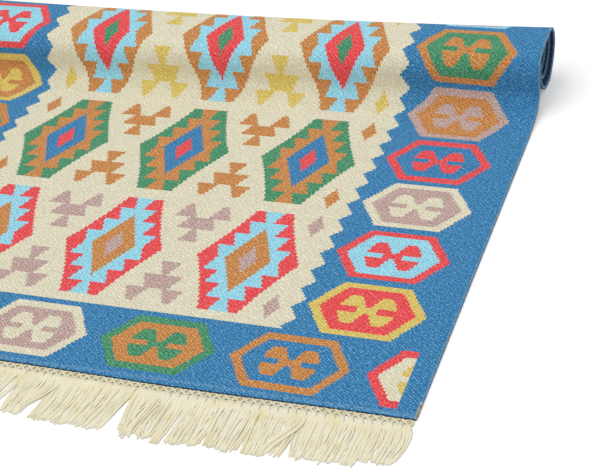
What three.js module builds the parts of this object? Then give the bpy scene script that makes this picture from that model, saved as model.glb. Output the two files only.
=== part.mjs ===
/**
 * Printed flat-woven rug. It lies open at its fringed end and is rolled under, with the printed
 * face outwards, at its other end.
 *
 * Millimetres, +Z up. X runs across the rug, along the roll. Y runs from the fringe to the roll.
 */
import * as THREE from "three";

// Cloth
const RUG_WIDTH = 1200;
const RUG_LENGTH = 1800; // from hem to hem, with the roll opened out
const CLOTH_THICKNESS = 4;
const WIDTH_STEPS = 6; // stations across the width, which let the roll sag between its ends

// Roll
const ROLL_HEIGHT = 115;
const ROLL_SAG = 7; // how much lower the roll lies halfway along its length
const LAYER_PITCH = 9; // the layers of the roll lie a little apart
const HALF_TURNS = 5;
const FLAT_SPOT = 16; // level cloth under the roll and over it
const DEEPEST_ARC_STEP = 10; // degrees of bend in one facet

// Fringe
const FRINGE_THICKNESS = 2.5;
const FRINGE_REACH = 100; // usual length from the hem to the tips
const HEADING_DEPTH = 13; // the knotted band that the locks hang from
const LOCK_COUNT = 48;
const SLIT_AT_ROOT = 6;
const SLIT_AT_BELLY = 2;
const SLIT_AT_TIP = 4;
const SEAM_GAP = 0.3; // keeps the two pieces apart along their seam

/** How the rug leaves the floor and climbs the roll, row by row, in millimetres and degrees. */
const RISE = [
  { part: "lift", radius: 200, turn: 20 },
  { part: "foot", radius: 30, turn: 55 },
  { part: "front", run: 0 },
  { part: "crown", radius: 80, turn: -67 },
  { part: "saddle", radius: 300, turn: -8 },
];

/** How the fringe lies at places across the width: sideways drift and extra length of its tips. */
const FRINGE_LAY = [
  { x: -600, drift: 6, longer: 0 },
  { x: -420, drift: -5, longer: 5 },
  { x: -220, drift: 6, longer: -3 },
  { x: -40, drift: -6, longer: 4 },
  { x: 60, drift: -5, longer: 2 },
  { x: 130, drift: -1, longer: -3 },
  { x: 195, drift: -4, longer: 6 },
  { x: 235, drift: 7, longer: 5 },
  { x: 320, drift: 2, longer: 3 },
  { x: 430, drift: -2, longer: -2 },
  { x: 540, drift: -7, longer: 0 },
  { x: 600, drift: -14, longer: -4 },
];

const { degToRad, lerp } = THREE.MathUtils;

/** Length of cloth in one row of the section. */
function rowLength(row) {
  return row.run ?? row.radius * degToRad(Math.abs(row.turn));
}

/** Follows the middle of the cloth through rows of level runs and bends, from a starting point. */
function walk(rows, start) {
  const path = [start];
  for (const row of rows) {
    const steps = row.turn ? Math.ceil(Math.abs(row.turn) / DEEPEST_ARC_STEP) : 1;
    for (let step = 0; step < steps; step += 1) {
      const from = path[path.length - 1];
      if (row.turn) {
        const heading = from.heading + degToRad(row.turn) / steps;
        const radius = Math.sign(row.turn) * row.radius;
        path.push({
          y: from.y + radius * (Math.sin(heading) - Math.sin(from.heading)),
          z: from.z + radius * (Math.cos(from.heading) - Math.cos(heading)),
          heading,
        });
      } else if (row.run > 0) {
        path.push({
          y: from.y + row.run * Math.cos(from.heading),
          z: from.z + row.run * Math.sin(from.heading),
          heading: from.heading,
        });
      }
    }
  }
  return path;
}

/** Rows of the roll: each half turn is a level run and a half circle, tighter than the last. */
function rollRows() {
  const rows = [];
  const outerRadius = (ROLL_HEIGHT - CLOTH_THICKNESS) / 2;
  for (let half = 0; half < HALF_TURNS; half += 1) {
    rows.push({ part: "level", run: FLAT_SPOT });
    rows.push({ part: "half turn", radius: outerRadius - (half * LAYER_PITCH) / 2, turn: -180 });
  }
  return rows;
}

/** Middle line of the cloth, from the fringed hem to the hem inside the roll. */
function clothPath() {
  const onFloor = { y: 0, z: CLOTH_THICKNESS / 2, heading: 0 };
  const top = ROLL_HEIGHT - CLOTH_THICKNESS / 2;
  const steepest = degToRad(RISE[0].turn + RISE[1].turn);
  const missingHeight = top - walk(RISE, onFloor).at(-1).z;
  const front = missingHeight / Math.sin(steepest);
  const rise = RISE.map((row) => (row.part === "front" ? { ...row, run: front } : row));
  const rows = [...rise, ...rollRows()];
  const used = rows.reduce((sum, row) => sum + rowLength(row), 0);
  return walk([{ part: "open cloth", run: RUG_LENGTH - used }, ...rows], onFloor);
}

/** Outline of the cloth's section: its printed face out to the far hem and its back home again. */
function sectionOutline(path) {
  const half = CLOTH_THICKNESS / 2;
  const face = (side) => path.map(({ y, z, heading }) =>
    new THREE.Vector2(y - side * half * Math.sin(heading), z + side * half * Math.cos(heading)));
  return [...face(1), ...face(-1).reverse()];
}

/** Share of its full height that the raised cloth keeps at one place across the width. */
function heightShare(x) {
  const fromMiddle = (2 * x) / RUG_WIDTH;
  const sagShare = ROLL_SAG / (ROLL_HEIGHT - CLOTH_THICKNESS);
  return 1 - sagShare * (1 - fromMiddle * fromMiddle);
}

/** The woven cloth, as one solid: its section drawn out across the width and left to sag. */
function makeCloth() {
  const shape = new THREE.Shape(sectionOutline(clothPath()));
  const geometry = new THREE.ExtrudeGeometry(shape, {
    depth: RUG_WIDTH,
    steps: WIDTH_STEPS,
    bevelEnabled: false,
  });
  const acrossToX = new THREE.Matrix4().makeBasis(
    new THREE.Vector3(0, 1, 0),
    new THREE.Vector3(0, 0, 1),
    new THREE.Vector3(1, 0, 0),
  );
  geometry.translate(0, 0, -RUG_WIDTH / 2);
  geometry.applyMatrix4(acrossToX);
  const points = geometry.attributes.position;
  for (let i = 0; i < points.count; i += 1) {
    const above = points.getZ(i) - CLOTH_THICKNESS;
    if (above > 0) {
      points.setZ(i, CLOTH_THICKNESS + above * heightShare(points.getX(i)));
    }
  }
  geometry.computeVertexNormals();
  return geometry;
}

/** Value of one column of the fringe table at a place across the width. */
function layAt(x, column) {
  const next = FRINGE_LAY.findIndex((row) => row.x >= x);
  const right = FRINGE_LAY[Math.max(next, 1)];
  const left = FRINGE_LAY[Math.max(next, 1) - 1];
  return lerp(left[column], right[column], (x - left.x) / (right.x - left.x));
}

/** Comb outline of the fringe: a straight heading with locks that part at narrow slits. */
function fringeOutline() {
  const pitch = RUG_WIDTH / LOCK_COUNT;
  const belly = lerp(HEADING_DEPTH, FRINGE_REACH, 0.35);
  const outline = [
    new THREE.Vector2(-RUG_WIDTH / 2, -SEAM_GAP),
    new THREE.Vector2(-RUG_WIDTH / 2, -HEADING_DEPTH),
  ];
  /** Point on a slit's side, at a depth below the hem, drifting more towards the tips. */
  const along = (x, side, slit, depth) => {
    const share = depth / FRINGE_REACH;
    return new THREE.Vector2(x + (side * slit) / 2 + layAt(x, "drift") * share * share, -depth);
  };
  for (let lock = 0; lock < LOCK_COUNT; lock += 1) {
    const left = -RUG_WIDTH / 2 + lock * pitch;
    const right = left + pitch;
    const uneven = 3 * Math.sin(lock * 2.4);
    const reach = FRINGE_REACH + layAt((left + right) / 2, "longer") + uneven;
    const firstLock = lock === 0;
    const lastLock = lock === LOCK_COUNT - 1;
    if (!firstLock) {
      outline.push(along(left, 1, SLIT_AT_ROOT, HEADING_DEPTH));
    }
    outline.push(along(left, 1, SLIT_AT_BELLY, belly));
    outline.push(along(left, 1, SLIT_AT_TIP, reach - 4));
    outline.push(along(right, -1, SLIT_AT_TIP, reach));
    outline.push(along(right, -1, SLIT_AT_BELLY, belly));
    if (!lastLock) {
      outline.push(along(right, -1, SLIT_AT_ROOT, HEADING_DEPTH));
    }
  }
  outline.push(new THREE.Vector2(RUG_WIDTH / 2, -HEADING_DEPTH));
  outline.push(new THREE.Vector2(RUG_WIDTH / 2, -SEAM_GAP));
  return outline;
}

/** The fringe, as one comb lying on the floor along the hem. */
function makeFringe() {
  const shape = new THREE.Shape(fringeOutline());
  return new THREE.ExtrudeGeometry(shape, { depth: FRINGE_THICKNESS, bevelEnabled: false });
}

/** Named mesh in a plain matte yarn colour. */
function piece(name, geometry, color) {
  const material = new THREE.MeshStandardMaterial({ color, roughness: 0.95, metalness: 0 });
  const mesh = new THREE.Mesh(geometry, material);
  mesh.name = name;
  return mesh;
}

const rug = new THREE.Group();
rug.add(piece("rug_cloth", makeCloth(), 0x3d80b4));
rug.add(piece("fringe", makeFringe(), 0xe6e0c4));

// The origin is on the floor, under the middle of the whole rug.
const middle = new THREE.Box3().setFromObject(rug).getCenter(new THREE.Vector3());
rug.position.y = -middle.y;

export default rug;
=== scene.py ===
"""Printed flat-woven rug, open at its fringed end and rolled under at its other end.

Metres, +Z up. X runs across the rug, along the roll. Y runs from the fringe to the roll.
A place on the cloth is given as across, along and off: metres from the rug's middle line, metres
of cloth from the fringed hem, and metres out of the cloth's middle surface on its printed side.
"""

import sys
import logging
from collections.abc import Sequence
from dataclasses import astuple, dataclass, field
from enum import Enum, IntEnum

import bpy
import numpy as np
from mathutils import Matrix, Vector


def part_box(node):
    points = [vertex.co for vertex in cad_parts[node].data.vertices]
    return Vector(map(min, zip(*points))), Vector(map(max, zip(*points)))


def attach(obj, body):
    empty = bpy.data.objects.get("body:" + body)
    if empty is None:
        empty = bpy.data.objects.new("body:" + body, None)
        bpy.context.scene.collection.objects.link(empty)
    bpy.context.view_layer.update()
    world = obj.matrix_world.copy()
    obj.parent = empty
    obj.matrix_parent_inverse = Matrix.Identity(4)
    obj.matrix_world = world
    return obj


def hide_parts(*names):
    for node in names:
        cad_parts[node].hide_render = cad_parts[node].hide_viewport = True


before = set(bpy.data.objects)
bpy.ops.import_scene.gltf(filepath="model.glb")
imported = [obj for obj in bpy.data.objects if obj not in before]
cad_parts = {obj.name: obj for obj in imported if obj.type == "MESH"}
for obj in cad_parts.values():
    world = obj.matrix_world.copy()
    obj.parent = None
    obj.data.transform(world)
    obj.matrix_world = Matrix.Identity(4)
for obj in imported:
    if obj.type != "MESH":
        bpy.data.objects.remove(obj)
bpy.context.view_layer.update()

MM = 0.001
UP = np.array([0.0, 0.0, 1.0])
RIGHT = np.array([1.0, 0.0, 0.0])

Pair = tuple[float, float]
Triple = tuple[float, float, float]
Colour = tuple[float, float, float, float]  # red, green, blue and alpha
WHITE: Colour = (1.0, 1.0, 1.0, 1.0)

log = logging.getLogger("rug")


# ---------------------------------------------------------------- colours and nodes


def linear(colour: str) -> Colour:
    """Turns an sRGB hex colour to linear light.

    Args:
        colour: Six hex digits after a hash.

    Returns:
        Red, green, blue and an alpha of 1.
    """
    channels = np.array([int(colour[i : i + 2], 16) / 255 for i in (1, 3, 5)])
    low = channels / 12.92
    high = ((channels + 0.055) / 1.055) ** 2.4
    return (*np.where(channels <= 0.04045, low, high).tolist(), 1.0)


def add_node(
    tree: bpy.types.NodeTree,
    kind: str,
    settings: dict[str, object] | None = None,
    inputs: dict[str | int, object] | None = None,
) -> bpy.types.Node:
    """Adds one node with its settings, and with values or links for its inputs.

    Args:
        tree: Node tree that takes the node.
        kind: Blender's name for the node's type.
        settings: Names of the node's own settings, with their values.
        inputs: Names or numbers of inputs, with a value, a field or an output socket for each.

    Returns:
        The new node.
    """
    node = tree.nodes.new(kind)
    for name, value in (settings or {}).items():
        setattr(node, name, value)
    for key, value in (inputs or {}).items():
        source = value.socket if isinstance(value, Field) else value
        if isinstance(source, bpy.types.NodeSocket):
            tree.links.new(source, node.inputs[key])
        else:
            node.inputs[key].default_value = source
    return node


class Field:
    """A number that varies over a surface, held as a node's output socket.

    Arithmetic between fields and plain numbers adds nodes. A comparison gives a mask, which is 1
    where it holds and 0 elsewhere, and masks are joined with & and |.
    """

    def __init__(self, tree: bpy.types.NodeTree, socket: bpy.types.NodeSocket) -> None:
        """Holds one output socket of the tree."""
        self.tree = tree
        self.socket = socket

    def apply(self, operation: str, *others: "Field | float") -> "Field":
        """Works out a new field from this one.

        Args:
            operation: Blender's name for the arithmetic.
            others: Further numbers or fields that it takes, in order.

        Returns:
            The result.
        """
        inputs = dict(enumerate((self, *others)))
        node = add_node(self.tree, "ShaderNodeMath", {"operation": operation}, inputs)
        return Field(self.tree, node.outputs[0])

    def __add__(self, other: "Field | float") -> "Field":
        """Sum."""
        return self.apply("ADD", other)

    def __sub__(self, other: "Field | float") -> "Field":
        """Difference."""
        return self.apply("SUBTRACT", other)

    def __rsub__(self, other: float) -> "Field":
        """Plain number less this field."""
        return self.apply("MULTIPLY_ADD", -1.0, other)

    def __mul__(self, other: "Field | float") -> "Field":
        """Product."""
        return self.apply("MULTIPLY", other)

    def __truediv__(self, other: "Field | float") -> "Field":
        """Quotient."""
        return self.apply("DIVIDE", other)

    def __abs__(self) -> "Field":
        """Size without its sign."""
        return self.apply("ABSOLUTE")

    def __lt__(self, other: "Field | float") -> "Field":
        """Mask of where this field is the smaller."""
        return self.apply("LESS_THAN", other)

    def __gt__(self, other: "Field | float") -> "Field":
        """Mask of where this field is the greater."""
        return self.apply("GREATER_THAN", other)

    def __and__(self, other: "Field") -> "Field":
        """Mask of where both masks hold."""
        return self.apply("MULTIPLY", other)

    def __or__(self, other: "Field") -> "Field":
        """Mask of where either mask holds."""
        return self.apply("MAXIMUM", other)

    def between(self, low: float, high: float) -> "Field":
        """Mask of where this field lies between two numbers."""
        return (self > low) & (self < high)

    def line(self, start: float, slope: float) -> "Field":
        """Straight line over this field: the start plus the slope times the field."""
        return self * slope + start

    def wave(self, pitch: float) -> "Field":
        """Swings from 0 to 1 and back once in each pitch, as half of 1 plus the sine."""
        return (self * (2 * np.pi / pitch)).apply("SINE").apply("MULTIPLY_ADD", 0.5, 0.5)

    def where(self, inside: "Field | float", outside: "Field | float") -> "Field":
        """Takes one value where this mask holds and another elsewhere.

        Args:
            inside: Value where the mask is 1.
            outside: Value where the mask is 0.

        Returns:
            outside + mask * (inside - outside).
        """
        return self.apply("MULTIPLY_ADD", inside - outside, outside)

    def limited(self) -> "Field":
        """Keeps this field from 0 to 1."""
        return self.apply("MINIMUM", 1.0).apply("MAXIMUM", 0.0)

    def stretched(self, low: float, gain: float) -> "Field":
        """Takes off a low value, strengthens what is left, and keeps it from 0 to 1."""
        return ((self - low) * gain).limited()

    def pick(self, colours: Sequence[Colour]) -> bpy.types.NodeSocket:
        """Takes one colour of a row, by this field's whole number.

        Args:
            colours: Linear colours, the first for 0. At most 32.

        Returns:
            Colour socket.
        """
        share = (self + 0.5) / len(colours)
        node = add_node(self.tree, "ShaderNodeValToRGB", inputs={0: share})
        ramp = node.color_ramp
        ramp.interpolation = "CONSTANT"
        ramp.elements[1].position = 1 / len(colours)
        for place in range(2, len(colours)):
            ramp.elements.new(place / len(colours))
        for element, colour in zip(ramp.elements, colours, strict=True):
            element.color = colour
        return node.outputs[0]


def surface_fields(tree: bpy.types.NodeTree) -> tuple[Field, Field]:
    """Reads a piece's own surface coordinates, in millimetres.

    Args:
        tree: Material's node tree.

    Returns:
        Millimetres across and millimetres along.
    """
    coordinates = add_node(tree, "ShaderNodeUVMap", {"uv_map": "surface"})
    parts = add_node(tree, "ShaderNodeSeparateXYZ", inputs={0: coordinates.outputs[0]})
    return Field(tree, parts.outputs[0]) / MM, Field(tree, parts.outputs[1]) / MM


def speckle(across: Field, along: Field, grain: Pair) -> Field:
    """Uneven speckle with grains of a given size.

    Args:
        across: Millimetres one way.
        along: Millimetres the other way.
        grain: Usual size of a grain each way, in millimetres.

    Returns:
        Values from 0 to 1, about a half.
    """
    tree = across.tree
    inputs = {0: across / grain[0], 1: along / grain[1]}
    place = add_node(tree, "ShaderNodeCombineXYZ", inputs=inputs)
    inputs = {"Vector": place.outputs[0], "Scale": 1.0, "Detail": 2.0}
    noise = add_node(tree, "ShaderNodeTexNoise", {"noise_dimensions": "2D"}, inputs)
    return Field(tree, noise.outputs["Fac"])


# ---------------------------------------------------------------- the print


class Dye(Enum):
    """Colours of the print, as sRGB hex values."""

    BLUE = "#3a7fb0"
    CREAM = "#e0dabf"
    RED = "#e74e51"
    SKY = "#97d6e8"
    ORANGE = "#c8884c"
    GOLD = "#dbc367"
    GREEN = "#488f68"
    MAUVE = "#bfa39c"

    @property
    def number(self) -> int:
        """Place of the dye in the palette."""
        return list(Dye).index(self)


B, C, R, S, O, G, N, M = Dye  # letters for the rows below: G is gold and N is green


@dataclass(frozen=True)
class Medallion:
    """Dyes of one row of stepped medallions, from the outside in, and of the figures beside it."""

    outer: Dye
    middle: Dye
    diamond: Dye
    core: Dye
    figure: Dye


@dataclass(frozen=True)
class Hexagon:
    """Dyes of one border hexagon."""

    outline: Dye
    fill: Dye
    horns: Dye


MEDALLION_ROWS = (
    Medallion(R, S, O, M, M),
    Medallion(N, O, B, R, O),
    Medallion(O, S, R, N, G),
)


def hexagons(*dyes: tuple[Dye, Dye, Dye]) -> tuple[Hexagon, ...]:
    """Makes a row of border hexagons from the dyes of each."""
    return tuple(Hexagon(*three) for three in dyes)


RIGHT_HEXAGONS = hexagons(
    *((G, R, G), (R, S, R), (C, M, C), (R, B, R), (M, O, M)),
    *((O, N, O), (S, R, S), (G, R, G), (R, S, R), (C, M, C)),
)
LEFT_HEXAGONS = hexagons(
    *((M, O, M), (R, B, R), (C, M, C), (O, N, O), (G, O, G)),
    *((R, S, R), (C, M, C), (R, B, R), (M, O, M), (O, N, O)),
)
END_HEXAGONS = hexagons((G, R, G), (R, S, R), (C, M, C), (N, O, N), (O, B, O), (R, C, G))


@dataclass(frozen=True)
class KilimPrint:
    """Traditional flat-weave pattern of medallions and hexagons, in millimetres.

    Every outline is a formula in the place on the cloth, stepped to the cells of the print. A
    pair for an edge is its start and its slope, a pair for a band is where it begins and ends,
    and a pair for a lozenge is its half width and half length.
    """

    cell_across: float = 4.0
    cell_along: float = 3.0
    length: float = 1853.0  # the print's own length, which is drawn in a little at the far end
    drawn_in_from: float = 1000.0
    drawn_in: float = 0.06625
    skew: float = 0.007  # the print runs a little askew on the cloth
    shift: float = 1.0
    off_centre: float = 2.0  # the columns are printed a little to the right

    field_edge: float = 348.0
    field_end: float = 156.0
    tooth_depth: float = 17.0
    tooth_pitch: float = 48.0
    tooth_start: float = 209.2

    column_pitch: float = 236.8
    row_pitch: float = 306.0
    row_start: float = 314.5
    medallion: Triple = (87.0, 0.5, 0.00075)  # half width, slope and curve
    medallion_end: float = 139.0
    step_length: float = 34.75
    step_in: float = 15.3  # how much narrower each step is than the one before
    step_flare: float = 11.5  # how much wider a step is at its far end
    stepped_half: float = 52.0
    diamond: Pair = (39.0, 88.0)
    core: Pair = (14.5, 38.0)

    waist: Pair = (28.9, -0.38)
    thinnest: float = 5.5
    hips: Pair = (60.4, -0.4)
    leg_inside: Pair = (-34.7, 0.447)
    leg_outside: Pair = (87.0, -0.37)
    body_band: Pair = (30.0, 67.0)
    hip_band: Pair = (66.0, 101.0)
    foot_band: Pair = (100.0, 139.0)
    side_lozenge: Pair = (14.0, 30.0)
    side_lozenge_at: Pair = (316.0, 110.5)

    end_border: float = 150.0
    side_hexagon: float = 464.5
    side_start: float = 223.5
    side_pitch: float = 143.5
    end_hexagon: float = 81.0
    end_start: float = 180.0
    end_pitch: float = 209.5
    trimmed_at: float = 567.0
    slant: float = 0.615
    outline: Triple = (93.0, 62.0, 65.0)  # reach of the tips, then of the flats at end and side
    fill: Triple = (76.0, 49.0, 52.0)
    horn_inside: Pair = (-0.1, 0.48)
    horn_outside: Pair = (44.0, -0.0101)  # over the square of the distance
    horn_band: Pair = (6.0, 33.5)
    brow: Pair = (17.0, 7.0)  # half width and half length of what joins the horns

    def dye(self, across: Field, along: Field) -> Field:
        """Gives the number of the dye at each place.

        Args:
            across: Millimetres from the middle line.
            along: Millimetres from the fringed hem.

        Returns:
            Whole numbers in the palette.
        """
        straight = along + across * self.skew - self.shift
        over = (straight - self.drawn_in_from).apply("MAXIMUM", 0.0)
        drawn = straight + over * self.drawn_in
        u = across.apply("SNAP", self.cell_across) + self.cell_across / 2
        v = drawn.apply("SNAP", self.cell_along) + self.cell_along / 2
        side = abs(u)
        border = self.border_dye(u, v, side)
        return self.inside_field(side, v).where(self.field_dye(abs(u - self.off_centre), v), border)

    def inside_field(self, side: Field, v: Field) -> Field:
        """Masks the cream field, whose side edges are zigzags between two distances.

        Args:
            side: Distance from the middle line.
            v: Distance from the fringed hem.

        Returns:
            Mask.
        """
        swing = ((v - self.tooth_start) / self.tooth_pitch).apply("PINGPONG", 0.5)
        edge = swing * (2 * self.tooth_depth) + self.field_edge
        return (side < edge) & v.between(self.field_end, self.length - self.field_end)

    def field_dye(self, side: Field, v: Field) -> Field:
        """Dyes of the field: figures between the columns, and three columns of medallions.

        Args:
            side: Distance from the middle line.
            v: Distance from the fringed hem.

        Returns:
            Whole numbers in the palette.
        """
        row = ((v - self.row_start) / self.row_pitch + 0.5).apply("FLOOR")
        kind = row.apply("FLOORED_MODULO", len(MEDALLION_ROWS))
        outer_dye, middle_dye, diamond_dye, core_dye, figure_dye = self.dyes(kind, MEDALLION_ROWS)
        p = side.apply("PINGPONG", self.column_pitch / 2)
        q = (v - self.row_start).apply("PINGPONG", self.row_pitch / 2)
        dye = self.figures(side, p, q).where(figure_dye, Dye.CREAM.number)
        half, slope, curve = self.medallion
        outer = (p < half - q * (slope - q * curve)) & (q < self.medallion_end)
        dye = outer.where(outer_dye, dye)
        steps = q / self.step_length
        flare = steps.apply("FRACT") * self.step_flare
        stepped = steps.apply("FLOOR") * -self.step_in + flare + self.stepped_half
        dye = (outer & (p < stepped)).where(middle_dye, dye)
        dye = self.lozenge(p, q, self.diamond).where(diamond_dye, dye)
        return self.lozenge(p, q, self.core).where(core_dye, dye)

    def figures(self, side: Field, p: Field, q: Field) -> Field:
        """Masks the stepped figures between the columns and the lozenges beside the outer ones.

        Args:
            side: Distance from the middle line.
            p: Distance from the nearest column's middle.
            q: Distance from the nearest row's middle, along.

        Returns:
            Mask.
        """
        r = self.column_pitch / 2 - p
        waist = q.line(*self.waist).apply("MAXIMUM", self.thinnest)
        body = q.between(*self.body_band) & (r < waist)
        hips = q.between(*self.hip_band) & (r < q.line(*self.hips))
        leg = (r > q.line(*self.leg_inside)) & (r < q.line(*self.leg_outside))
        feet = q.between(*self.foot_band) & leg
        figure = (body | hips | feet) & (side < self.column_pitch)
        across, along = self.side_lozenge_at
        return figure | self.lozenge(abs(side - across), abs(q - along), self.side_lozenge)

    def border_dye(self, u: Field, v: Field, side: Field) -> Field:
        """Dyes of the blue border and its hexagons with ram's horns.

        Args:
            u: Distance from the middle line, with its sign.
            v: Distance from the fringed hem.
            side: Distance from the middle line.

        Returns:
            Whole numbers in the palette.
        """
        from_end = v.apply("MINIMUM", self.length - v)
        at_end = from_end < self.end_border
        place = (v - self.side_start) / self.side_pitch
        last = len(RIGHT_HEXAGONS) - 1
        turn = (place + 0.5).apply("FLOOR").apply("MAXIMUM", 0.0).apply("MINIMUM", last)
        end_place = (u - self.end_start) / self.end_pitch
        end_turn = (end_place + 0.5).apply("FLOOR")
        side_du = side - self.side_hexagon
        side_dv = (place - turn) * self.side_pitch
        end_du = (end_place - end_turn) * self.end_pitch
        end_dv = from_end - self.end_hexagon
        p = abs(at_end.where(end_du, side_du))
        q = abs(at_end.where(end_dv, side_dv))
        slant = p + q * self.slant
        outline, fill = [
            (slant < tip) & (q < at_end.where(end, beside))
            for tip, end, beside in (self.outline, self.fill)
        ]
        horn = (p > q.line(*self.horn_inside)) & (p < (q * q).line(*self.horn_outside))
        brow = (q < self.brow[1]) & (p < self.brow[0])
        horns = (q.between(*self.horn_band) & horn) | brow
        on_left = (u < 0.0) * len(RIGHT_HEXAGONS)
        middle_end = len(RIGHT_HEXAGONS) + len(LEFT_HEXAGONS) + len(END_HEXAGONS) // 2
        numbered = at_end.where(end_turn + middle_end, turn + on_left)
        every_hexagon = (*RIGHT_HEXAGONS, *LEFT_HEXAGONS, *END_HEXAGONS)
        outline_dye, fill_dye, horn_dye = self.dyes(numbered, every_hexagon)
        dye = horns.where(horn_dye, fill.where(fill_dye, outline_dye))
        return (outline & (side < self.trimmed_at)).where(dye, Dye.BLUE.number)

    @staticmethod
    def lozenge(p: Field, q: Field, size: Pair) -> Field:
        """Masks a lozenge, where p over its half width plus q over its half length is below 1."""
        return p / size[0] + q / size[1] < 1.0

    @staticmethod
    def dyes(number: Field, items: Sequence[Medallion | Hexagon]) -> list[Field]:
        """Looks up the dyes of a numbered item, which a row of greys holds.

        Args:
            number: Whole numbers in the row of items.
            items: The row.

        Returns:
            Numbers in the palette, one field for each part of an item, in the parts' order.
        """
        found = []
        for part in zip(*[astuple(item) for item in items], strict=True):
            grey = number.pick([(*[dye.number / len(Dye)] * 3, 1.0) for dye in part])
            found.append((Field(number.tree, grey) * len(Dye)).apply("ROUND"))
        return found


# ---------------------------------------------------------------- finishes


def blank_material(name: str) -> bpy.types.Material:
    """Starts a material with no nodes in it.

    Args:
        name: Its name.

    Returns:
        The material.
    """
    material = bpy.data.materials.new(name)
    material.use_nodes = True
    material.node_tree.nodes.clear()
    return material


@dataclass(frozen=True)
class Cotton:
    """Matte cotton, which every finish of the rug ends in.

    Attributes:
        roughness: How matte it is, from 0 to 1.
        relief: How strongly its yarns show in the light, from 0 to 1.
        relief_depth: How deep they stand, in metres.
        sheen: Share of soft light from its loose fibres.
    """

    roughness: float
    relief: float
    relief_depth: float
    sheen: float = 0.0

    def finish(self, colour: bpy.types.NodeSocket, light: Field, height: Field) -> None:
        """Ends a material.

        Args:
            colour: Colour socket.
            light: What each channel of the colour is multiplied by: painted light and shade of the
                yarns' relief, with random tone where a finish adds it.
            height: Height of the yarns, about 0 to 1.
        """
        tree = light.tree
        # the colour times the painted light and shade
        inputs = {0: colour, "Scale": light}
        shade = add_node(tree, "ShaderNodeVectorMath", {"operation": "SCALE"}, inputs)
        inputs = {"Strength": self.relief, "Distance": self.relief_depth, "Height": height}
        bump = add_node(tree, "ShaderNodeBump", inputs=inputs)
        inputs = {
            "Base Color": shade.outputs[0],
            "Roughness": self.roughness,
            "IOR": 1.5,
            "Specular IOR Level": 0.25,
            "Sheen Weight": self.sheen,
            "Normal": bump.outputs[0],
        }
        shader = add_node(tree, "ShaderNodeBsdfPrincipled", inputs=inputs)
        add_node(tree, "ShaderNodeOutputMaterial", inputs={0: shader.outputs[0]})


@dataclass(frozen=True)
class PrintedCotton:
    """Heavy cotton flat weave, printed on one face.

    It gives the eye matte colour in slanting ribs of short floats, a little uneven from yarn to
    yarn, with print cells that step along every slanted outline. Painted shade darkens the
    hollows between the ribs and painted highlight lightens their crests, over a real relief.
    """

    pattern: KilimPrint = KilimPrint()
    rib_pitch: float = 4.5  # ribs are 2.5 mm apart in such a weave, and drawn wider so they show
    rib_lean: float = 40.0  # degrees
    float_length: float = 4.4
    between_floats: float = 0.4  # height where one float dips and the next begins
    float_stagger: float = 0.43  # share of a float by which each rib's lie past its neighbour's
    drift: float = 1.6  # how many ribs a rib wanders over
    drift_grain: Pair = (14.0, 7.0)
    yarn_grain: Pair = (4.5, 2.4)  # along and across the ribs
    cloud_grain: Pair = (30.0, 18.0)
    deepest: float = 1.765  # how deeply the most dyed yarns are dyed
    yarn_paler: float = 1.25
    # paler crests: painted highlight
    crest_painted_paler: float = 0.4
    darkest: float = 0.70  # painted shade: share of the light left in the deepest hollows between the ribs
    # painted light on the ribs' crests, added to the painted shade of the hollows
    crest_painted_light: float = 0.24
    yarn_light: float = 0.31
    cloud_light: float = 0.13
    yarn_height: float = 0.5  # beside the height of a rib
    hem_band: Pair = (1.5, 9.0)  # where the hem's pale thread shows, which also paints the highlight on the turned hem
    hem_grain: Pair = (6.0, 2.2)
    hem_gain: Pair = (0.42, 3.5)  # where its thread begins to show, and how sharply
    hem_thread_highlight: str = "#a9cbe0"
    hem_cover: float = 0.4
    cotton: Cotton = Cotton(0.92, 0.8, 0.45 * MM, sheen=0.05)

    def material(self) -> bpy.types.Material:
        """Builds the material.

        Each float of each rib takes the dye a little differently, and its crest is drawn paler as a
        painted highlight. Light passes dye in shares, so each channel is raised to the power of the
        dye's depth: twice the dye lets through the square of the share, and deep dyes change more
        than pale. The colour is then multiplied by painted light and shade, lighter on the ribs'
        crests and darker in their hollows, and by random tone of yarns and clouds.

        Returns:
            Material on the cloth's surface coordinates.
        """
        material = blank_material("printed_cotton_weave")
        tree = material.node_tree
        across, along = surface_fields(tree)
        dye = self.pattern.dye(across, along)
        colour = dye.pick([linear(d.value) for d in Dye])
        lean = np.radians(self.rib_lean)
        straight = across * float(np.sin(lean)) + along * float(np.cos(lean))
        with_rib = across * float(np.cos(lean)) - along * float(np.sin(lean))
        drift = speckle(with_rib, straight, self.drift_grain) * (self.drift * self.rib_pitch)
        over = straight + drift
        rib = over.wave(self.rib_pitch)
        stagger = (over / self.rib_pitch).apply("FLOOR") * (self.float_stagger * self.float_length)
        floats = (with_rib + stagger).wave(self.float_length)
        crest = rib * floats.line(self.between_floats, 1 - self.between_floats)
        yarn = speckle(with_rib, straight, self.yarn_grain)
        cloud = speckle(across, along, self.cloud_grain)
        # uneven dye from yarn to yarn, and paler crests as painted highlight
        depth = yarn * -self.yarn_paler - crest * self.crest_painted_paler + self.deepest
        dyed = add_node(tree, "ShaderNodeGamma", inputs={"Color": colour, "Gamma": depth})
        # pale thread near the hem: partly real stitching, partly painted highlight on the turned
        # hem
        hem_stitch_highlight = speckle(across, along, self.hem_grain).stretched(*self.hem_gain)
        hem_stitch_highlight = hem_stitch_highlight & along.between(*self.hem_band)
        thread = linear(self.hem_thread_highlight)
        inputs = {0: hem_stitch_highlight * self.hem_cover, 6: dyed.outputs[0], 7: thread}
        hemmed = add_node(tree, "ShaderNodeMix", {"data_type": "RGBA"}, inputs)
        height = crest + yarn * self.yarn_height
        # painted light and shade of the ribs, with random tone of the yarns and clouds
        light = crest * self.crest_painted_light + yarn * self.yarn_light + cloud * self.cloud_light
        self.cotton.finish(hemmed.outputs[2], light + self.darkest, height)
        return material


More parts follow.
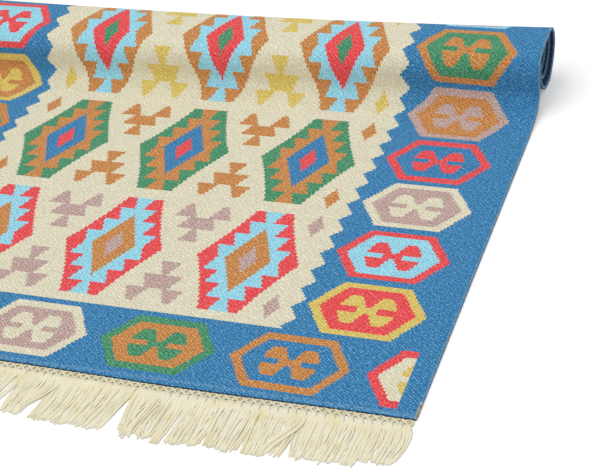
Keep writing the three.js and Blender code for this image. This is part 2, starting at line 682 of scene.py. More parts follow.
@dataclass(frozen=True)
class UnprintedCotton:
    """Back of the printed weave.

    It gives the eye a dark navy ground, painted shade that makes the inside of the roll look
    shaded, flecked with undyed fibres. Painted shade also darkens the hollows between its ribs.
    """

    # painted shade: the whole back is dark navy so that the inside of the roll looks dark
    painted_shade_ground: str = "#22385a"
    fleck: str = "#97a2a8"
    rib_pitch: float = 4.5  # as on the printed face
    rib_lean: float = -40.0  # degrees, and the other way round as seen from behind
    fleck_grain: Pair = (4.2, 3.0)
    fleck_gain: Pair = (0.55, 4.0)  # where a fleck begins, and how sharply
    fleck_cover: float = 0.8
    darkest: float = 0.88  # painted shade: share of the light left between the ribs
    rib_painted_light: float = 0.16
    fleck_height: float = 0.3  # beside the height of a rib
    cotton: Cotton = Cotton(0.95, 0.8, 0.4 * MM)

    def material(self) -> bpy.types.Material:
        """Builds the material.

        Returns:
            Material on the cloth's surface coordinates.
        """
        material = blank_material("unprinted_cotton_back")
        tree = material.node_tree
        across, along = surface_fields(tree)
        lean = np.radians(self.rib_lean)
        over = across * float(np.sin(lean)) + along * float(np.cos(lean))
        rib = over.wave(self.rib_pitch)
        flecks = speckle(across, along, self.fleck_grain).stretched(*self.fleck_gain)
        inputs = {0: flecks * self.fleck_cover, 6: linear(self.painted_shade_ground), 7: linear(self.fleck)}
        colour = add_node(tree, "ShaderNodeMix", {"data_type": "RGBA"}, inputs)
        height = rib + flecks * self.fleck_height
        # painted light on the ribs and painted shade between them
        self.cotton.finish(colour.outputs[2], rib.line(self.darkest, self.rib_painted_light), height)
        return material


@dataclass(frozen=True)
class TwistedYarn:
    """Plied cotton yarn.

    It gives the eye soft matte thread with slanting plies, each thread a little lighter or
    darker than the next, and a warmer tint in places. Each ply is painted lighter on its top and
    darker in its groove, as painted light and shade over a real relief.
    """

    name: str
    colour: str
    tint: str
    ply_pitch: float = 2.6  # millimetres along the thread for one turn of a ply
    ply_slant: float = 0.8
    ply_depth: float = 0.25 * MM
    twist: float = 0.6  # how strongly the plies show, from 0 to 1
    uneven: float = 0.22  # how much lighter the lightest thread is than the darkest
    ply_painted_light: float = 0.16
    lightness: float = 0.98
    patches: float = 28.0  # tinted patches in a metre
    patch_from: float = 0.45
    patch_gain: float = 3.0
    tint_cover: float = 1.6
    roughness: float = 0.9
    sheen: float = 0.1

    def material(self) -> bpy.types.Material:
        """Builds the material.

        Returns:
            Material on the thread's surface coordinates and its own shade attribute.
        """
        material = blank_material(self.name)
        tree = material.node_tree
        around, along = surface_fields(tree)
        ply = (along + around * self.ply_slant).wave(self.ply_pitch)
        shade = add_node(tree, "ShaderNodeAttribute", {"attribute_name": "shade"})
        own = Field(tree, shade.outputs["Fac"])
        place = add_node(tree, "ShaderNodeTexCoord")
        inputs = {"Vector": place.outputs["Object"], "Scale": self.patches, "Detail": 2.0}
        patches = add_node(tree, "ShaderNodeTexNoise", inputs=inputs)
        patch = Field(tree, patches.outputs["Fac"]) - self.patch_from
        warm = (patch * self.patch_gain).apply("MAXIMUM", 0.0)
        warm = (warm * own * self.tint_cover).apply("MINIMUM", 1.0)
        inputs = {0: warm, 6: linear(self.colour), 7: linear(self.tint)}
        colour = add_node(tree, "ShaderNodeMix", {"data_type": "RGBA"}, inputs)
        # painted light on the plies' tops and painted shade in their grooves
        plies = ply * (self.ply_painted_light * self.twist)
        light = own * self.uneven + plies + (self.lightness - self.uneven / 2)
        cotton = Cotton(self.roughness, self.twist, self.ply_depth, self.sheen)
        cotton.finish(colour.outputs[2], light, ply)
        return material


# ---------------------------------------------------------------- surfaces


@dataclass
class Surface:
    """Four-sided faces worked out as arrays.

    Attributes:
        points: Points, three numbers each.
        faces: Point numbers of each face, anticlockwise seen from outside.
        corners: Surface coordinates of each face's corners, in metres.
        shades: One number for each point, from 0 to 1.
        finishes: Number of each face's material.
    """

    points: np.ndarray
    faces: np.ndarray
    corners: np.ndarray
    shades: np.ndarray | None = None
    finishes: np.ndarray | None = None

    def piece(self, name: str, materials: Sequence[bpy.types.Material]) -> bpy.types.Object:
        """Makes the Blender object.

        Args:
            name: Name of the object and its mesh.
            materials: Materials, in the order that the face numbers use.

        Returns:
            Smooth-shaded object at the origin.
        """
        mesh = bpy.data.meshes.new(name)
        mesh.from_pydata(self.points, [], self.faces)
        mesh.uv_layers.new(name="surface").data.foreach_set("uv", self.corners.ravel())
        mesh.polygons.foreach_set("use_smooth", np.ones(len(self.faces), dtype=bool))
        if self.finishes is not None:
            mesh.polygons.foreach_set("material_index", self.finishes.astype(np.int32))
        if self.shades is not None:
            shade = mesh.attributes.new("shade", "FLOAT", "POINT")
            shade.data.foreach_set("value", self.shades.astype(np.float32))
        for material in materials:
            mesh.materials.append(material)
        mesh.update()
        piece = bpy.data.objects.new(name, mesh)
        bpy.context.scene.collection.objects.link(piece)
        return piece


def joined(surfaces: Sequence[Surface]) -> Surface:
    """Puts several surfaces into one.

    Args:
        surfaces: Surfaces, each with shades.

    Returns:
        One surface with the faces of all.
    """
    starts = np.cumsum([0, *[len(s.points) for s in surfaces[:-1]]])
    return Surface(
        points=np.concatenate([s.points for s in surfaces]),
        faces=np.concatenate([s.faces + n for s, n in zip(surfaces, starts, strict=True)]),
        corners=np.concatenate([s.corners for s in surfaces]),
        shades=np.concatenate([s.shades for s in surfaces]),
    )


def unit(vectors: np.ndarray) -> np.ndarray:
    """Scales vectors to a length of 1."""
    return vectors / np.linalg.norm(vectors, axis=-1, keepdims=True)


def wall_faces(number: np.ndarray) -> np.ndarray:
    """Joins each ring of points to the next.

    Args:
        number: Point numbers, with rings by points in a ring as the last two axes.

    Returns:
        Faces, with a last axis of 4.
    """
    low = number[..., :-1, :]
    high = number[..., 1:, :]
    return np.stack([low, np.roll(low, -1, -1), np.roll(high, -1, -1), high], axis=-1)


def threads(
    lines: np.ndarray,
    radius: np.ndarray | float,
    sideways: np.ndarray,
    sides: int,
    shades: np.ndarray | float = 0.5,
    depth: float = 1.0,
) -> Surface:
    """Wraps many closed threads about many lines at once.

    At each point of a line stands a ring: the point plus radius times (cos a * side + depth *
    sin a * other), for angles a all round. Side is the part of a given direction that is square
    to the line's run, and other is the run crossed with side.

    Args:
        lines: Middle lines, as threads by stations by 3.
        radius: Radius at each station, or one for all.
        sideways: Direction that side is taken from, not along the line.
        sides: Even number of sides.
        shades: One number for each thread.
        depth: Depth as a share of width, 1 for a round thread.

    Returns:
        The threads, with metres around and along as surface coordinates.
    """
    count, stations, _ = lines.shape
    radius = np.broadcast_to(radius, (count, stations))
    run = unit(np.gradient(lines, axis=1))
    sideways = np.broadcast_to(sideways, lines.shape)
    side = unit(sideways - np.sum(sideways * run, axis=-1, keepdims=True) * run)
    other = np.cross(run, side)
    angle = 2 * np.pi * np.arange(sides) / sides
    across = np.cos(angle)[:, None] * side[:, :, None]
    ring = across + depth * np.sin(angle)[:, None] * other[:, :, None]
    points = lines[:, :, None] + radius[:, :, None, None] * ring

    number = np.arange(points.size // 3).reshape(count, stations, sides)
    wall = wall_faces(number)
    odd = np.arange(1, sides - 1, 2)
    tip = number[:, -1]
    root = number[:, 0]
    hub = np.zeros_like(odd)
    tips = np.stack([tip[:, hub], tip[:, odd], tip[:, odd + 1], tip[:, odd + 2]], axis=-1)
    roots = np.stack([root[:, hub], root[:, odd + 2], root[:, odd + 1], root[:, odd]], axis=-1)

    length = np.linalg.norm(np.diff(lines, axis=1), axis=-1).cumsum(axis=1)
    length = np.concatenate([np.zeros((count, 1)), length], axis=1)
    around = np.arange(sides + 1) * (2 * np.pi * float(radius.mean()) / sides)
    grid = np.stack(np.broadcast_arrays(around, length[:, :, None]), axis=-1)
    sweep = [grid[:, :-1, :-1], grid[:, :-1, 1:], grid[:, 1:, 1:], grid[:, 1:, :-1]]
    wall_corners = np.stack(sweep, axis=3)
    flat = np.zeros((count, len(odd), 4, 2))
    tip_corners = flat + grid[:, -1, 0][:, None, None]
    root_corners = flat + grid[:, 0, 0][:, None, None]
    return Surface(
        points=points.reshape(-1, 3),
        faces=np.concatenate([part.reshape(-1, 4) for part in (wall, tips, roots)]),
        corners=np.concatenate(
            [part.reshape(-1, 4, 2) for part in (wall_corners, tip_corners, root_corners)]
        ),
        shades=np.repeat(np.broadcast_to(shades, count), stations * sides),
    )


def eased(share: np.ndarray) -> np.ndarray:
    """Goes from 0 to 1 with level ends, as 3 t^2 - 2 t^3 with t kept from 0 to 1."""
    t = np.clip(share, 0, 1)
    return t * t * (3 - 2 * t)


# ---------------------------------------------------------------- the cloth


@dataclass(frozen=True)
class Run:
    """Stretch of the cloth's section that keeps one curvature.

    Attributes:
        length: Metres of cloth.
        turn: Degrees that it turns, upwards from the floor positive.
    """

    length: float
    turn: float = 0.0


def bend(radius: float, turn: float) -> Run:
    """Makes a bend of a radius in metres through an angle in degrees."""
    return Run(radius * float(np.radians(abs(turn))), turn)


@dataclass(frozen=True)
class Section:
    """Sizes of the cloth's section at one place across the rug, in metres and degrees.

    Attributes:
        lift_radius: Radius of the first bend up from the floor.
        lift: Its turn.
        foot_radius: Radius of the tighter bend up to the straight front.
        foot: Its turn.
        crown_radius: Radius of the bend back over the top of the front.
        crown: Its turn.
        saddle_radius: Radius of the last bend, which brings the cloth level.
        top_at: How far the roll's top lies from the hem, straight along the floor.
        height: Height of the roll.
    """

    lift_radius: float
    lift: float
    foot_radius: float
    foot: float
    crown_radius: float
    crown: float
    saddle_radius: float
    top_at: float
    height: float


@dataclass
class ClothLay:
    """How the rug's cloth lies: open on the floor, then rolled under with its print outwards.

    The roll isn't quite even. Its left end is rolled a little further than its right end, and its
    middle bows forward and is a little lower.
    """

    width: float = 1.2
    length: float = 1.8
    thickness: float = 0.004
    left: Section = Section(0.044, 16.7, 0.030, 76.3, 0.036, 78.6, 0.227, 0.9151, 0.1090)
    middle: Section = Section(0.318, 14.5, 0.030, 78.3, 0.036, 75.7, 0.190, 0.9111, 0.1065)
    right: Section = Section(0.335, 15.6, 0.030, 76.5, 0.036, 78.2, 0.190, 0.9291, 0.1105)
    lines_across: int = 13
    layer_pitch: float = 0.012
    level_runs: tuple[float, ...] = (0.026, 0.006, 0.014, 0.0, 0.0025, 0.0)  # between half turns
    slip: float = 0.022  # how far the inmost layer has slipped along the roll
    slip_from: float = 1.0
    slip_length: float = 0.8
    hem_bow: float = 0.0035
    hem_bow_at: float = 0.25
    hem_bow_width: float = 0.16
    hem_bow_depth: float = 0.12
    step: float = 0.001
    hem_y: float = field(default_factory=lambda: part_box("rug_cloth")[0][1])
    lines: np.ndarray = field(init=False)

    def __post_init__(self) -> None:
        """Works out the cloth's line at even places across."""
        shares = np.linspace(0, 1, self.lines_across)
        self.lines = np.stack([self.line(share) for share in shares])

    @property
    def open_length(self) -> float:
        """Length of cloth that lies flat all the way across."""
        lifted = (self.lines[..., 2] > 0.0).any(axis=0)
        return float(np.argmax(lifted)) * self.step

    def section(self, share: float) -> Section:
        """Blends the three sections, each size by the parabola through its three values.

        Args:
            share: 0 at the left edge and 1 at the right.

        Returns:
            The section at that place.
        """
        three = np.array([astuple(s) for s in (self.left, self.middle, self.right)])
        weights = [(1 - share) * (1 - 2 * share), 4 * share * (1 - share), share * (2 * share - 1)]
        return Section(*(weights @ three))

    def line(self, share: float) -> np.ndarray:
        """Follows the cloth's line at one place across.

        Args:
            share: 0 at the left edge and 1 at the right.

        Returns:
            Forward, up and heading at each step of cloth from the hem.
        """
        section = self.section(share)
        missing = section.height - self.thickness / 2 - self.follow(self.rise(section, 0))[-1, 2]
        steep = float(np.sin(np.radians(section.lift + section.foot)))
        rise = self.rise(section, missing / steep)
        open_length = section.top_at - self.follow(rise)[-1, 1]
        found = self.follow([Run(open_length), *rise, *self.roll(section)])
        marks = np.arange(0, self.length + self.step, self.step)
        return np.stack([np.interp(marks, found[:, 0], found[:, k]) for k in (1, 2, 3)], axis=1)

    def rise(self, section: Section, front: float) -> list[Run]:
        """Rows that climb from the floor to the top of the roll, with a straight front.

        Args:
            section: Sizes at this place across.
            front: Length of the straight front.

        Returns:
            Rows in order.
        """
        return [
            bend(section.lift_radius, section.lift),
            bend(section.foot_radius, section.foot),
            Run(front),
            bend(section.crown_radius, -section.crown),
            bend(section.saddle_radius, section.crown - section.lift - section.foot),
        ]

    def roll(self, section: Section) -> list[Run]:
        """Rows of the roll: level runs and half turns, each tighter than the last.

        The layers lie close together at the back, and stand looser in front.

        Args:
            section: Sizes at this place across.

        Returns:
            Rows in order, from the top of the roll to the hem inside it.
        """
        outer = (section.height - self.thickness) / 2
        rows = []
        for half, level in enumerate(self.level_runs):
            rows.append(Run(level))
            rows.append(bend(outer - half * self.layer_pitch / 2, -180))
        return rows

    def follow(self, rows: Sequence[Run]) -> np.ndarray:
        """Follows the middle of the cloth through rows.

        Along a bend of curvature c from heading h0 the heading after t metres is h = h0 + c t,
        and the place has moved by (sin h - sin h0) / c forward and (cos h0 - cos h) / c up.
        Along a straight run it moves by t times (cos h0, sin h0).

        Args:
            rows: Rows in order, from the fringed hem.

        Returns:
            Along, forward, up and heading at every station.
        """
        stations = [np.array([[0.0, 0.0, self.thickness / 2, 0.0]])]
        for row in rows:
            if row.length <= 0:
                continue
            s0, y0, z0, h0 = stations[-1][-1]
            t = np.linspace(0, row.length, max(int(row.length / self.step), 2) + 1)[1:]
            curve = np.radians(row.turn) / row.length
            h = h0 + curve * t
            if curve:
                y = y0 + (np.sin(h) - np.sin(h0)) / curve
                z = z0 + (np.cos(h0) - np.cos(h)) / curve
            else:
                y = y0 + t * np.cos(h0)
                z = z0 + t * np.sin(h0)
            stations.append(np.stack([s0 + t, y, z, h], axis=1))
        return np.concatenate(stations)

    def look_up(self, across: np.ndarray, along: np.ndarray) -> np.ndarray:
        """Looks up the cloth's middle surface, straight-line between the nearest four entries.

        Args:
            across: Metres from the middle line.
            along: Metres of cloth from the fringed hem, of the same shape.

        Returns:
            Forward, up and heading, as a last axis of 3.
        """
        column = (across / self.width + 0.5) * (self.lines_across - 1)
        mark = along / self.step
        i = np.clip(np.floor(column).astype(int), 0, self.lines_across - 2)
        j = np.clip(np.floor(mark).astype(int), 0, self.lines.shape[1] - 2)
        a = (column - i)[..., None]
        b = (mark - j)[..., None]
        nearer = self.lines[i, j] * (1 - a) + self.lines[i + 1, j] * a
        further = self.lines[i, j + 1] * (1 - a) + self.lines[i + 1, j + 1] * a
        return nearer * (1 - b) + further * b

    def run(self, across: np.ndarray, along: np.ndarray) -> np.ndarray:
        """Direction in which the cloth runs.

        Args:
            across: Metres from the middle line.
            along: Metres of cloth from the fringed hem.

        Returns:
            Vectors in space of length 1, as a last axis of 3.
        """
        across, along = np.broadcast_arrays(across, along)
        heading = self.look_up(across, along)[..., 2]
        return np.stack([np.zeros_like(heading), np.cos(heading), np.sin(heading)], axis=-1)

    def bow(self, across: np.ndarray, along: np.ndarray) -> np.ndarray:
        """How far the hem bows out, a bell curve across that dies away along the cloth."""
        bell = np.exp(-(((across - self.hem_bow_at) / self.hem_bow_width) ** 2))
        return self.hem_bow * bell * np.exp(-np.maximum(along, 0) / self.hem_bow_depth)

    def place(self, across: np.ndarray, along: np.ndarray, off: np.ndarray) -> np.ndarray:
        """Gives the points in space of places on the cloth.

        A point stands off the cloth's line by off times (-sin h, cos h), h being the heading.

        Args:
            across: Metres from the middle line.
            along: Metres of cloth from the fringed hem.
            off: Metres out on the printed side.

        Returns:
            Points, with a last axis of 3.
        """
        across, along, off = np.broadcast_arrays(across, along, off)
        forward, up, heading = np.moveaxis(self.look_up(across, along), -1, 0)
        x = across - self.slip * np.clip((along - self.slip_from) / self.slip_length, 0, 1)
        y = forward - off * np.sin(heading) + self.hem_y - self.bow(across, along)
        return np.stack([x, y, up + off * np.cos(heading)], axis=-1)


class Face(IntEnum):
    """Faces of the cloth, each with its own finish."""

    PRINTED = 0
    EDGE = 1
    BACK = 2
    HEM = 3


@dataclass
class RugCloth:
    """The woven cloth: a flat profile with round edges, carried along the cloth's lay."""

    lay: ClothLay
    columns: int = 80
    open_step: float = 0.008
    rolled_step: float = 0.0035
    edge_points: int = 5
    hem_steps: tuple[float, ...] = (0.0, 0.0004, 0.001, 0.002, 0.0035, 0.005, 0.007, 0.010, 0.014)
    flat_from: float = 0.020
    rolled_margin: float = 0.008
    hem_rounding: float = 0.002
    hem_bead: float = 0.0006  # how much thicker the cloth is where its hem is turned
    bead_at: float = 0.005
    bead_width: float = 0.004
    print_bow: float = 1.6  # the print bows out more than the hem does

    def stations(self) -> np.ndarray:
        """Places along the cloth: close at the hems and in the roll, wider on the floor.

        Returns:
            Metres of cloth from the fringed hem, in order.
        """
        open_length = self.lay.open_length
        hem = np.array(self.hem_steps)
        last = hem[:6][::-1]
        flat = np.arange(self.flat_from, open_length, self.open_step)
        rolled = np.arange(open_length, self.lay.length - self.rolled_margin, self.rolled_step)
        return np.concatenate([hem, flat, rolled, self.lay.length - last])

    def half_thickness(self, along: np.ndarray) -> np.ndarray:
        """Half thickness, rounded off at each hem as sqrt(1 - (1 - d / r)^2) for a rounding r.

        Args:
            along: Metres of cloth from the fringed hem, d being the distance from either hem.

        Returns:
            Half thickness in metres.
        """
        from_hem = np.minimum(along, self.lay.length - along)
        d = np.clip(from_hem / self.hem_rounding, 0.04, 1)
        return self.lay.thickness / 2 * np.sqrt(1 - (1 - d) ** 2)

    def profile(self) -> tuple[np.ndarray, np.ndarray, np.ndarray]:
        """Section square to the cloth's length.

        It runs across on the printed face, as half a circle round the right edge, back under the
        cloth and as half a circle round the left edge.

        Returns:
            Metres across, half thicknesses out on the printed side, and the face that starts at
            each point.
        """
        inset = self.lay.thickness / 2
        side = self.lay.width / 2 - inset
        flat = np.linspace(-side, side, self.columns + 1)
        turn = np.linspace(0, np.pi, self.edge_points + 2)[1:-1]
        edge = side + inset * np.sin(turn)
        ones = np.ones(len(flat))
        across = np.concatenate([flat, edge, flat[::-1], -edge])
        out = np.concatenate([ones, np.cos(turn), -ones, -np.cos(turn)])
        round_edge = [Face.EDGE] * (self.edge_points + 1)
        half = [[face] * self.columns + round_edge for face in (Face.PRINTED, Face.BACK)]
        return across, out, np.concatenate(half)

    def surface(self) -> Surface:
        """Carries the profile along the cloth, and closes each hem with a strip of faces.

        Returns:
            Closed surface.
        """
        across, out, faces_round = self.profile()
        along = self.stations()[:, None]
        bead = self.hem_bead * np.exp(-(((along - self.bead_at) / self.bead_width) ** 2))
        off = self.half_thickness(along) * out + bead * np.maximum(out, 0)
        points = self.lay.place(across, along, off)
        printed = along - self.print_bow * self.lay.bow(across, along)
        coordinates = np.stack(np.broadcast_arrays(across, printed), axis=-1)

        rows, ring = points.shape[:2]
        number = np.arange(rows * ring).reshape(rows, ring)
        top = np.arange(self.columns)
        under = 2 * self.columns + self.edge_points + 1 - top
        first = number[0]
        last = number[-1]
        near = np.stack([first[top], first[under], first[under - 1], first[top + 1]], axis=-1)
        far = np.stack([last[top], last[top + 1], last[under - 1], last[under]], axis=-1)
        faces = np.concatenate([wall_faces(number).reshape(-1, 4), near, far])
        finishes = np.tile(faces_round, (rows - 1, 1))
        finishes[[0, -1]] = Face.HEM
        caps = np.full(2 * self.columns, Face.HEM)
        return Surface(
            points=points.reshape(-1, 3),
            faces=faces,
            corners=coordinates.reshape(-1, 2)[faces],
            finishes=np.concatenate([finishes.ravel(), caps]),
        )

    def build(
        self, edge_yarn_and_highlight: bpy.types.Material, hem_yarn: bpy.types.Material
    ) -> bpy.types.Object:
        """Makes the cloth's piece.

        Args:
            edge_yarn_and_highlight: Material of the side edges: pale overlock thread, paler also as
                painted highlight.
            hem_yarn: Material of the two hems' edges: navy thread, dark also as painted shade.

        Returns:
            The piece, riding on the rug and standing for its CAD node.
        """
        finishes = {
            Face.PRINTED: PrintedCotton().material(),
            Face.EDGE: edge_yarn_and_highlight,
            Face.BACK: UnprintedCotton().material(),
            Face.HEM: hem_yarn,
        }
        piece = self.surface().piece("woven_cloth", [finishes[face] for face in Face])
        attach(piece, "root")
        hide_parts("rug_cloth")
        return piece


@dataclass
class EdgeStitching:
    """Overlock thread in close loops round one side edge of the cloth."""

    lay: ClothLay
    side: int  # 1 at the right edge, -1 at the left
    start: float = 0.034
    end: float = 1.796
    pitch: float = 0.0032
    radius: float = 0.0007
    reach: float = 0.0003  # how far a loop reaches over the printed face
    under: float = 0.0026  # how far it reaches over the back
    bulge: float = 0.0008  # half width of its turn round the edge
    inset: float = 0.0003
    sunk: float = 0.4  # radii by which its middle line clears the cloth
    slant: float = 0.0016
    uneven: float = 0.0002

    def surface(self) -> Surface:
        """Loops one thread round the edge at each pitch.

        A loop runs out along the printed face, round the edge as half an ellipse and back under
        the cloth, while it moves along by the slant. It keeps clear of the floor.

        Returns:
            The loops.
        """
        rng = np.random.default_rng(11 + self.side)
        count = int((self.end - self.start) / self.pitch)
        turn = np.radians([90, 60, 20, -20, -60, -90])
        half = self.lay.thickness / 2 + self.sunk * self.radius
        out = np.concatenate([[-self.reach], self.bulge * np.cos(turn), [-self.under]])
        off = half * np.concatenate([[0.8], np.sin(turn), [-0.8]])  # its ends dip into the cloth
        share = np.linspace(-0.5, 0.5, len(out))
        start = self.start + self.pitch * np.arange(count) + rng.normal(0, self.uneven, count)
        along = start[:, None] + self.slant * share
        across = self.side * (self.lay.width / 2 + out - self.inset)
        lines = self.lay.place(across[None], along, off[None])
        lines[..., 2] = np.maximum(lines[..., 2], self.radius)
        sideways = self.lay.run(across[None], along)
        return threads(lines, self.radius, sideways, 4, rng.uniform(0, 1, count))

    def build(self, name: str, yarn: bpy.types.Material, slot: str) -> bpy.types.Object:
        """Makes the piece.

        Args:
            name: Its name.
            yarn: Its material.
            slot: Material slot of the record that it follows. Not used.

        Returns:
            The piece, riding on the rug.
        """
        piece = self.surface().piece(name, [yarn])
        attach(piece, "root")
        return piece


# ---------------------------------------------------------------- the fringe


@dataclass(frozen=True)
class Stray:
    """Lock of the fringe that has fallen across its neighbours.

    Attributes:
        across: Where it hangs from.
        sweep: How far its tip lies to the right of its root.
        shorter: How much less deep it reaches.
    """

    across: float
    sweep: float
    shorter: float


@dataclass(frozen=True)
class Tuft:
    """Run of neighbouring locks that cling together at their tips.

    Attributes:
        start: Where its first lock hangs from.
        gather: How far the tips move towards its middle line, as a share of their distance.
        swing: How far its tips lie to the right of their roots.
        longer: How much deeper it reaches than the other locks.
    """

    start: float
    gather: float
    swing: float
    longer: float


TUFTS = (
    Tuft(-0.600, 0.10, 0.004, 0.000),
    Tuft(-0.505, 0.14, -0.003, 0.005),
    Tuft(-0.418, 0.08, 0.005, -0.002),
    Tuft(-0.290, 0.16, -0.004, 0.004),
    Tuft(-0.215, 0.09, -0.009, 0.001),
    Tuft(-0.092, 0.10, -0.026, -0.018),
    Tuft(0.014, 0.09, -0.012, 0.003),
    Tuft(0.110, 0.12, -0.011, 0.007),
    Tuft(0.188, 0.25, 0.009, 0.002),
    Tuft(0.208, 0.06, -0.003, 0.009),
    Tuft(0.288, 0.09, -0.004, 0.011),
    Tuft(0.332, 0.03, -0.004, 0.010),
    Tuft(0.448, 0.05, -0.003, 0.003),
    Tuft(0.540, 0.05, -0.009, -0.008),
)

STRAYS = (
    Stray(-0.452, 0.030, 0.010),
    Stray(-0.207, -0.024, 0.004),
    Stray(0.068, -0.020, 0.006),
    Stray(0.231, -0.012, 0.004),
    Stray(0.443, -0.020, 0.006),
)


@dataclass
class Fringe:
    """Cotton fringe: a tape along the hem, a knotted heading and loose locks of yarn."""

    lay: ClothLay
    locks: int = 88
    yarns: int = 11
    heading: float = 0.0125
    reach: float = 0.100
    yarn_radius: float = 0.0019
    yarn_depth: float = 0.26  # loose yarns lie rather flat
    stations: int = 11

    side_gap: float = 0.002  # how far the tape stops short of each side edge
    cords: int = 7  # in the tape
    cord_radius: float = 0.0008
    first_cord: float = 0.0011
    cord_pitch: float = 0.0012
    cord_wave: float = 0.0003

    net_radius: float = 0.0010
    net_tops: Pair = (0.0016, 0.0068)  # where each row of the net starts
    net_heights: Pair = (0.0021, 0.0022)
    net_row: float = 0.0054
    net_arch: float = 0.0005
    pair_gap: float = 0.0008
    knot_row: float = 0.0070
    net_knot: float = 0.0013
    lock_knot: float = 0.0017

    knot_across: Pair = (0.20, 0.45)  # between these the knots' widths change
    knot_widths: Pair = (0.0052, 0.0026)
    lock_width: float = 0.0076
    layer: float = 0.0004
    lift: float = 0.0022  # height of the knots, and of the strays over the other locks
    short: float = 0.014  # how much less deep the short yarns reach
    short_share: float = 0.06

    # how far things lie off their even places, as standard deviations
    lock_reach_off: float = 0.0022
    yarn_reach_off: float = 0.0026
    net_off: float = 0.0004
    knot_off: float = 0.0006
    lock_swing: float = 0.0022
    yarn_swing: float = 0.0015

    @property
    def pitch(self) -> float:
        """Distance between the middles of two locks."""
        return self.lay.width / self.locks

    @property
    def middles(self) -> np.ndarray:
        """Places across the rug where the locks hang."""
        return -self.lay.width / 2 + self.pitch * (np.arange(self.locks) + 0.5)

    def tufts(self, across: np.ndarray) -> tuple[np.ndarray, np.ndarray]:
        """Works out how the tufts lie at places across the rug.

        Args:
            across: Metres from the middle line.

        Returns:
            How far the tips lie to the right of their roots, and the extra length there.
        """
        start = np.array([tuft.start for tuft in TUFTS])
        middle = (start + np.append(start[1:], self.lay.width / 2)) / 2
        number = np.searchsorted(start, across, side="right") - 1
        gather = np.array([tuft.gather for tuft in TUFTS])[number]
        swing = np.array([tuft.swing for tuft in TUFTS])[number]
        longer = np.array([tuft.longer for tuft in TUFTS])[number]
        return swing - gather * (across - middle[number]), longer

    def place(self, across: np.ndarray, depth: np.ndarray, height: np.ndarray) -> np.ndarray:
        """Gives points in space for places on the fringe.

        Args:
            across: Metres from the middle line.
            depth: Metres out from the hem.
            height: Metres above the floor.

        Returns:
            Points, with a last axis of 3.
        """
        across, depth, height = np.broadcast_arrays(across, depth, height)
        bow = self.lay.bow(across, np.zeros_like(across))
        return np.stack([across, self.lay.hem_y - bow - depth, height], axis=-1)

    def tape(self) -> Surface:
        """Threads side by side along the hem, under the heading, in long shallow waves.

        Returns:
            The threads.
        """
        half = self.lay.width / 2 - self.side_gap
        across = np.linspace(-half, half, 200)[None]
        depth = self.first_cord + self.cord_pitch * np.arange(self.cords)[:, None]
        wave = self.cord_wave * np.sin(across * 90 + depth * 2000)
        lines = self.place(across, depth + wave, self.cord_radius)
        shades = np.linspace(0.9, 0.1, self.cords)
        return threads(lines, self.cord_radius, UP, 6, shades)

    def lattice(self) -> Surface:
        """Knotted net of the heading.

        Pairs of yarns leave the hem, lean to one side down to a first row of knots and back to a
        second, where the locks hang. The leans alternate, so the two rows make a zigzag.

        Returns:
            Yarns and knots.
        """
        rng = np.random.default_rng(5)
        middle = self.middles
        limit = self.lay.width / 2 - 1.5 * self.net_radius
        t = np.linspace(0, 1, 4)
        arch = self.net_arch * np.sin(np.pi * t)
        parts = []
        for lean in (-1, 1):
            for pair in (-self.pair_gap, self.pair_gap):
                first = middle[:, None] + lean * self.pitch * (0.1 + 0.4 * t) + pair
                second = middle[:, None] + lean * self.pitch * (0.5 - 0.42 * t) + pair
                rows = zip((first, second), self.net_tops, self.net_heights, strict=True)
                for across, top, height in rows:
                    depth = top + self.net_row * t + rng.normal(0, self.net_off, (self.locks, 1))
                    shade = rng.uniform(0, 1, self.locks)
                    lines = self.place(np.clip(across, -limit, limit), depth, height + arch)
                    parts.append(threads(lines, self.net_radius, UP, 4, shade))
        bead = np.array([0.5, 1.0, 1.0, 0.5])
        for across, depth, size in (
            (middle, self.heading, self.lock_knot),
            (middle[:-1] + self.pitch / 2, self.knot_row, self.net_knot),
        ):
            run = np.linspace(-1.1, 1.1, 4) * size
            lines = self.place(across[:, None], depth + run, size * 0.75 + 0.0006)
            shade = rng.uniform(0.2, 0.9, len(across))
            parts.append(threads(lines, size * bead, UP, 6, shade))
        return joined(parts)

    def yarn_lines(self) -> np.ndarray:
        """Middle lines of the loose yarns.

        A yarn starts in its lock's knot, fans out with the others over the first quarter of its
        length, and drifts sideways with its tuft as its depth to the power 1.6. Locks and yarns
        wander a little as sines of the depth, and strays swing across their neighbours. Each
        yarn comes down from the knot to its own layer on the floor. Every change is eased over
        a share of the yarn's length.

        Returns:
            Lines, as yarns by stations by 3.
        """
        rng = np.random.default_rng(23)
        each = (self.locks, self.yarns, 1)  # a number for each yarn
        lock = (self.locks, 1, 1)  # a number for each lock
        middle = self.middles[:, None, None]
        t = np.linspace(0, 1, self.stations) ** 1.25  # stations lie closer near the knot
        uneven = rng.normal(0, self.yarn_reach_off, each) + rng.normal(0, self.lock_reach_off, lock)
        short = np.where(rng.uniform(0, 1, each) < self.short_share, self.short, 0.0)
        lean, longer = self.tufts(middle)
        reach = self.reach + longer + uneven - short
        sweep = np.zeros(lock)
        lifted = np.zeros(lock)
        for stray in STRAYS:
            nearest = int(np.argmin(np.abs(middle[:, 0, 0] - stray.across)))
            sweep[nearest] = stray.sweep
            lifted[nearest] = self.lift
            reach[nearest] -= stray.shorter
        depth = self.heading + t * (reach - self.heading)

